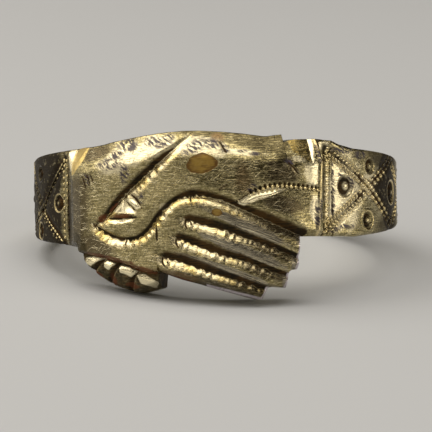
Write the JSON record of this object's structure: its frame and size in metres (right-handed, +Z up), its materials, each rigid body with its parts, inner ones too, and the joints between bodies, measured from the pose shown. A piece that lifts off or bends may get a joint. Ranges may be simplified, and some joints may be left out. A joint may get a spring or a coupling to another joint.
{
  "type": "fede ring",
  "caption": "Finger ring whose bezel is two clasped hands in relief, on a flat tapering hoop; it lies on its side.",
  "frame": {"origin": "the point of the ground under the middle of the ring, which lies on its side on its fingertips, its long fingers and the back of its hoop", "axes": "+Z up from the ground, -Y the way the clasped hands face, +X to the right of someone who looks at the hands"},
  "size_m": [0.0212, 0.0224, 0.0093],
  "materials": {
    "silver_gilt": "worn gilding over silver, brushed on the flats, grey tarnish in patches and brown dirt in the cuts"
  },
  "bodies": {
    "root": {"ring": "silver_gilt"}
  },
  "joints": []
}
